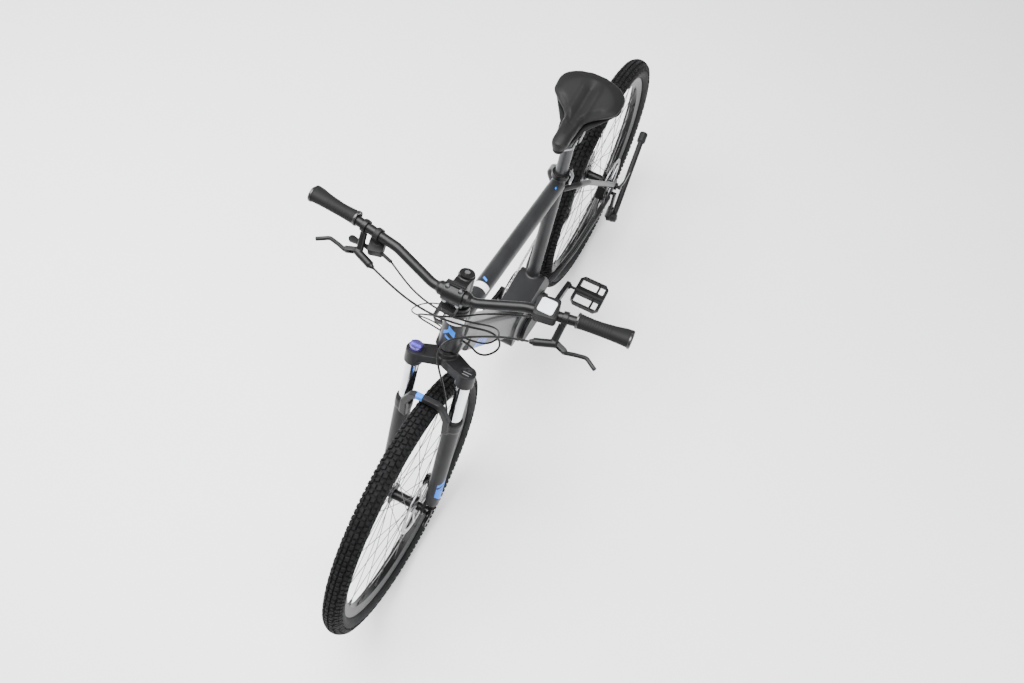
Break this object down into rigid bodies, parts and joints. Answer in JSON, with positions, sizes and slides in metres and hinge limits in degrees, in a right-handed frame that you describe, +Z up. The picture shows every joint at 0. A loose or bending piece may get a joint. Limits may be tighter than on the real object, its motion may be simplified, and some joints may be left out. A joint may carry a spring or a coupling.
{
  "type": "electric hardtail mountain bike",
  "caption": "Hardtail mountain bike with a suspension fork, disc brakes, a mid motor, a battery in its down tube and a kickstand.",
  "frame": {"origin": "on the ground, midway between the axles, in the bike's mid-plane", "axes": "+X forwards, +Y to the rider's left, +Z up"},
  "size_m": [1.894, 0.7536, 1.0729],
  "materials": {
    "frame_paint": "satin anthracite paint",
    "fork_paint": "satin dark grey paint",
    "black_alloy": "black anodised aluminium",
    "silver_alloy": "bare machined aluminium",
    "steel": "bright steel",
    "stanchion": "polished hard chrome",
    "motor_housing": "painted cast aluminium",
    "plastic": "moulded black plastic",
    "screen": "glossy display window",
    "tyre": "black tread rubber",
    "grip_rubber": "soft black rubber",
    "hose": "smooth black hose",
    "saddle_cover": "black synthetic leather"
  },
  "bodies": {
    "frame": {"main_frame": "frame_paint", "rear_triangle": "frame_paint", "motor": "motor_housing", "motor_covers": "plastic", "headset_cups": "black_alloy", "seat_collar": "black_alloy", "rear_derailleur": "black_alloy", "chain": "steel", "rear_brake_caliper": "black_alloy", "cables": "hose", "kickstand_bracket": "black_alloy", "rear_axle": "black_alloy"},
    "battery": {"battery": "plastic"},
    "seat_lever": {"seat_quick_release_lever": "silver_alloy"},
    "stand": {"kickstand": "black_alloy"},
    "rear_lever": {"rear_quick_release_lever": "black_alloy"},
    "seat": {"seatpost": "black_alloy", "saddle_rails": "steel", "saddle_shell": "plastic", "saddle_pad": "saddle_cover"},
    "rear_wheel": {"rear_tyre": "tyre", "rear_rim": "black_alloy", "rear_spokes": "steel", "rear_hub": "black_alloy", "rear_rotor": "steel"},
    "freewheel": {"cassette": "steel"},
    "cranks": {"crank_arms": "black_alloy", "chainring": "black_alloy"},
    "left_pedal": {"left_pedal": "plastic"},
    "right_pedal": {"right_pedal": "plastic"},
    "upper_jockey_wheel": {"upper_jockey_wheel": "plastic"},
    "lower_jockey_wheel": {"lower_jockey_wheel": "plastic"},
    "steering": {"fork_crown": "black_alloy", "stanchions": "stanchion", "headset_spacers": "black_alloy", "stem": "black_alloy", "stem_faceplate": "black_alloy", "stem_bolts": "steel", "handlebar": "black_alloy", "grips": "grip_rubber", "brake_lever_bodies": "black_alloy", "shifter": "plastic", "display": "plastic", "front_brake_hose": "hose", "light_bracket": "plastic"},
    "left_brake_lever": {"left_brake_lever": "black_alloy"},
    "right_brake_lever": {"right_brake_lever": "black_alloy"},
    "upshift_lever": {"upshift_lever": "plastic"},
    "downshift_lever": {"downshift_lever": "plastic"},
    "lockout_knob": {"lockout_knob": "silver_alloy"},
    "display_button": {"display_button": "plastic"},
    "lowers": {"fork_lowers": "fork_paint", "front_brake_caliper": "black_alloy", "front_axle": "black_alloy"},
    "front_lever": {"front_quick_release_lever": "black_alloy"},
    "front_wheel": {"front_tyre": "tyre", "front_rim": "black_alloy", "front_spokes": "steel", "front_hub": "black_alloy", "front_rotor": "steel"}
  },
  "joints": [
    {"name": "steering", "type": "hinge", "parent": "frame", "child": "steering", "pos_m": [0.5382, 0, 0.35152], "axis": [-0.3746, 0, 0.9272], "range_deg": [-60, 60], "deforming": ["cables"]},
    {"name": "fork_travel", "type": "slide", "parent": "steering", "child": "lowers", "axis": [-0.3746, 0, 0.9272], "range_m": [0, 0.08], "stiffness_N_per_m": 8000, "springref_m": -0.015, "deforming": ["front_brake_hose"]},
    {"name": "front_wheel_spin", "type": "hinge", "parent": "lowers", "child": "front_wheel", "pos_m": [0.579, 0, 0.368], "axis": [0, 1, 0], "continuous": true},
    {"name": "rear_wheel_spin", "type": "hinge", "parent": "frame", "child": "rear_wheel", "pos_m": [-0.579, 0, 0.368], "axis": [0, 1, 0], "continuous": true},
    {"name": "crank_spin", "type": "hinge", "parent": "frame", "child": "cranks", "pos_m": [-0.113, 0, 0.308], "axis": [0, 1, 0], "continuous": true, "deforming": ["chain"]},
    {"name": "cassette_spin", "type": "hinge", "parent": "frame", "child": "freewheel", "pos_m": [-0.579, 0, 0.368], "axis": [0, 1, 0], "continuous": true},
    {"name": "upper_jockey_wheel_spin", "type": "hinge", "parent": "frame", "child": "upper_jockey_wheel", "pos_m": [-0.562, -0.049, 0.256], "axis": [0, 1, 0], "continuous": true},
    {"name": "lower_jockey_wheel_spin", "type": "hinge", "parent": "frame", "child": "lower_jockey_wheel", "pos_m": [-0.54608, -0.049, 0.16742], "axis": [0, 1, 0], "continuous": true},
    {"name": "left_pedal_spin", "type": "hinge", "parent": "cranks", "child": "left_pedal", "pos_m": [-0.26878, 0.147, 0.23994], "axis": [0, 1, 0], "continuous": true},
    {"name": "right_pedal_spin", "type": "hinge", "parent": "cranks", "child": "right_pedal", "pos_m": [0.04278, -0.147, 0.37606], "axis": [0, 1, 0], "continuous": true},
    {"name": "kickstand_fold", "type": "hinge", "parent": "frame", "child": "stand", "pos_m": [-0.545, 0.092, 0.262], "axis": [0.1986, -0.9634, -0.1801], "range_deg": [0, 132]},
    {"name": "seatpost_height", "type": "slide", "parent": "frame", "child": "seat", "axis": [-0.2874, 0, 0.9578], "range_m": [-0.1, 0.08]},
    {"name": "battery_removal", "type": "slide", "parent": "frame", "child": "battery", "axis": [0.8171, 0, -0.5766], "range_m": [0, 0.035]},
    {"name": "left_brake_lever_pull", "type": "hinge", "parent": "steering", "child": "left_brake_lever", "pos_m": [0.331, 0.257, 1.008], "axis": [0, 0, 1], "range_deg": [0, 14], "stiffness_Nm_per_rad": 1.5, "springref_deg": -5.73},
    {"name": "right_brake_lever_pull", "type": "hinge", "parent": "steering", "child": "right_brake_lever", "pos_m": [0.331, -0.257, 1.008], "axis": [0, 0, -1], "range_deg": [0, 14], "stiffness_Nm_per_rad": 1.5, "springref_deg": -5.73},
    {"name": "upshift_push", "type": "hinge", "parent": "steering", "child": "upshift_lever", "pos_m": [0.28739, -0.199, 1.02], "axis": [0, 0, 1], "range_deg": [0, 12], "stiffness_Nm_per_rad": 0.3, "springref_deg": -11.46},
    {"name": "downshift_push", "type": "hinge", "parent": "steering", "child": "downshift_lever", "pos_m": [0.30434, -0.20923, 1.02], "axis": [0, 0, 1], "range_deg": [0, 12], "stiffness_Nm_per_rad": 0.3, "springref_deg": -11.46},
    {"name": "lockout_turn", "type": "hinge", "parent": "steering", "child": "lockout_knob", "pos_m": [0.38339, -0.065, 0.81745], "axis": [-0.3746, 0, 0.9272], "range_deg": [0, 90]},
    {"name": "display_button_press", "type": "slide", "parent": "steering", "child": "display_button", "axis": [0.987, 0.1608, 0], "range_m": [0, 0.002], "stiffness_N_per_m": 300, "springref_m": -0.002},
    {"name": "rear_quick_release", "type": "hinge", "parent": "frame", "child": "rear_lever", "pos_m": [-0.579, 0.0875, 0.368], "axis": [-0.5646, 0, -0.8253], "range_deg": [0, 140]},
    {"name": "front_quick_release", "type": "hinge", "parent": "lowers", "child": "front_lever", "pos_m": [0.579, 0.071, 0.368], "axis": [-0.5646, 0, 0.8253], "range_deg": [0, 140]},
    {"name": "seat_quick_release", "type": "hinge", "parent": "frame", "child": "seat_lever", "pos_m": [-0.28433, 0.016, 0.74821], "axis": [-0.2874, 0, 0.9578], "range_deg": [0, 140]}
  ],
  "couplings": [
    {"joint": "cassette_spin", "follows": "crank_spin", "ratio": 2},
    {"joint": "upper_jockey_wheel_spin", "follows": "crank_spin", "ratio": -3.2727},
    {"joint": "lower_jockey_wheel_spin", "follows": "crank_spin", "ratio": 3.2727}
  ]
}
